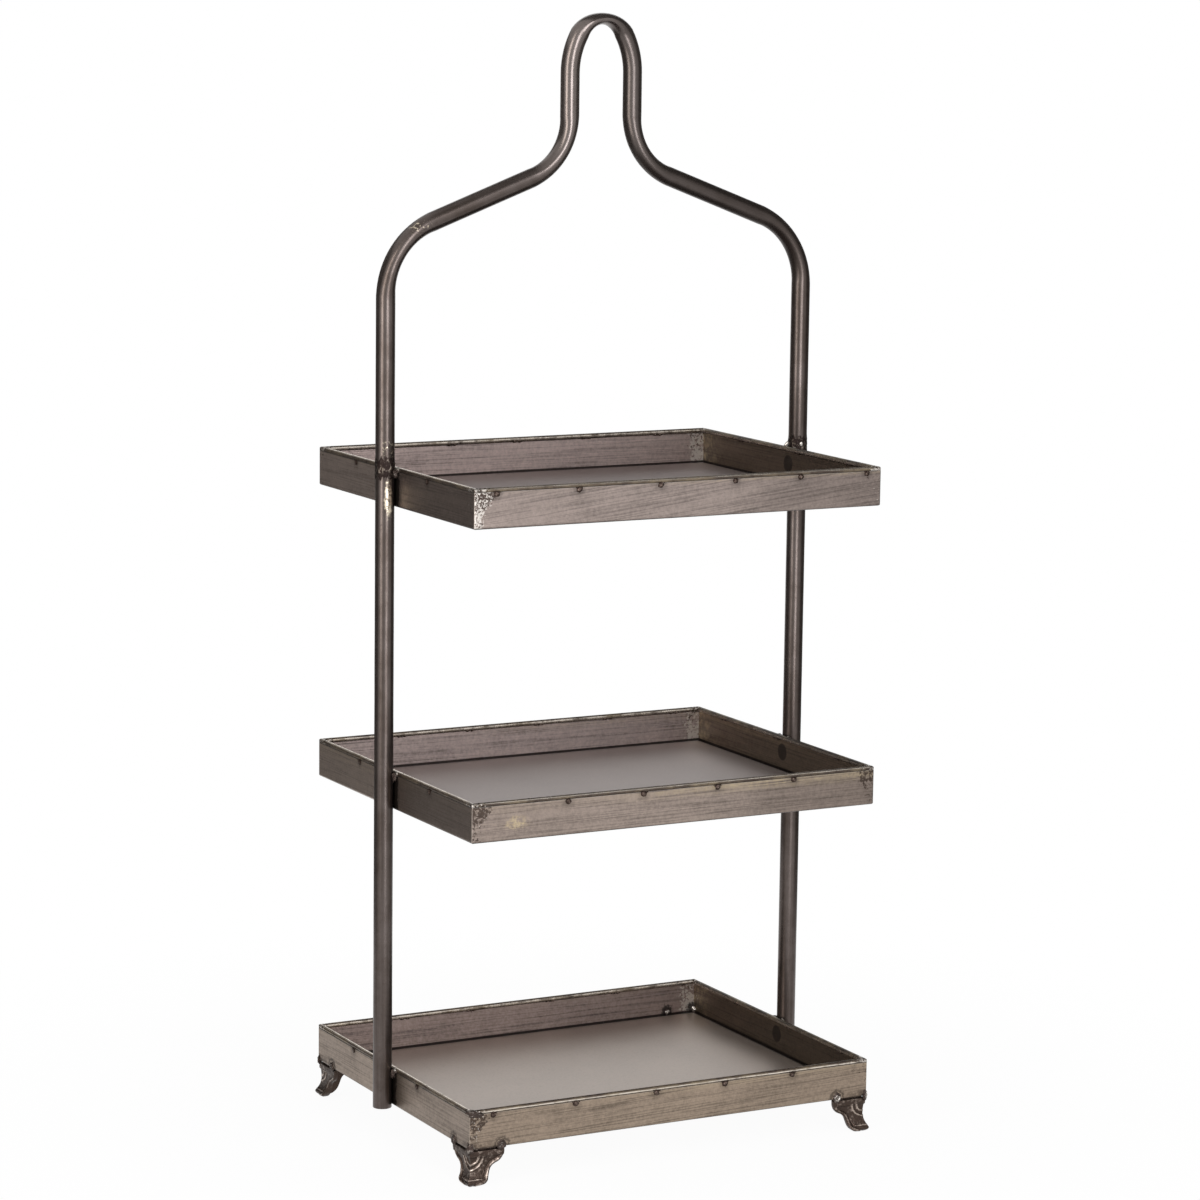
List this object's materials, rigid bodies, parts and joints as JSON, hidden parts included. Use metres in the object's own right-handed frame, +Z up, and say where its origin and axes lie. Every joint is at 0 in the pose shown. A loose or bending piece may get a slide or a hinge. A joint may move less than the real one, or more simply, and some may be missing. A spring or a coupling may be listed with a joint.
{
  "type": "etagere",
  "caption": "Metal etagere of open rimmed trays between round uprights that rise into a bottle-necked carrying handle, on cast bracket feet.",
  "frame": {"origin": "on the ground, under the middle of the trays", "axes": "+X along the trays' long side, +Y to the back, +Z up"},
  "size_m": [0.483, 0.3616, 1.1122],
  "materials": {
    "tray_steel": "brushed, heat darkened and waxed",
    "floor_steel": "satin, darkened",
    "rim_steel": "hand polished, darkened",
    "frame_tube": "drawn tube, dark pewter",
    "cast_iron": "dark, high points rubbed bright",
    "weld_metal": "bright bead with a burnt rim"
  },
  "bodies": {
    "root": {"left_upright": "frame_tube", "right_upright": "frame_tube", "handle_arch": "frame_tube", "arch_butt_welds": "weld_metal", "lower_front_wall": "tray_steel", "lower_front_rim_bar": "rim_steel", "lower_right_wall": "tray_steel", "lower_right_rim_bar": "rim_steel", "lower_back_wall": "tray_steel", "lower_back_rim_bar": "rim_steel", "lower_left_wall": "tray_steel", "lower_left_rim_bar": "rim_steel", "lower_floor": "floor_steel", "lower_tube_welds": "weld_metal", "middle_front_wall": "tray_steel", "middle_front_rim_bar": "rim_steel", "middle_right_wall": "tray_steel", "middle_right_rim_bar": "rim_steel", "middle_back_wall": "tray_steel", "middle_back_rim_bar": "rim_steel", "middle_left_wall": "tray_steel", "middle_left_rim_bar": "rim_steel", "middle_floor": "floor_steel", "middle_tube_welds": "weld_metal", "upper_front_wall": "tray_steel", "upper_front_rim_bar": "rim_steel", "upper_right_wall": "tray_steel", "upper_right_rim_bar": "rim_steel", "upper_back_wall": "tray_steel", "upper_back_rim_bar": "rim_steel", "upper_left_wall": "tray_steel", "upper_left_rim_bar": "rim_steel", "upper_floor": "floor_steel", "upper_tube_welds": "weld_metal", "front_left_foot": "cast_iron", "front_right_foot": "cast_iron", "back_right_foot": "cast_iron", "back_left_foot": "cast_iron", "foot_welds": "weld_metal"}
  },
  "joints": []
}
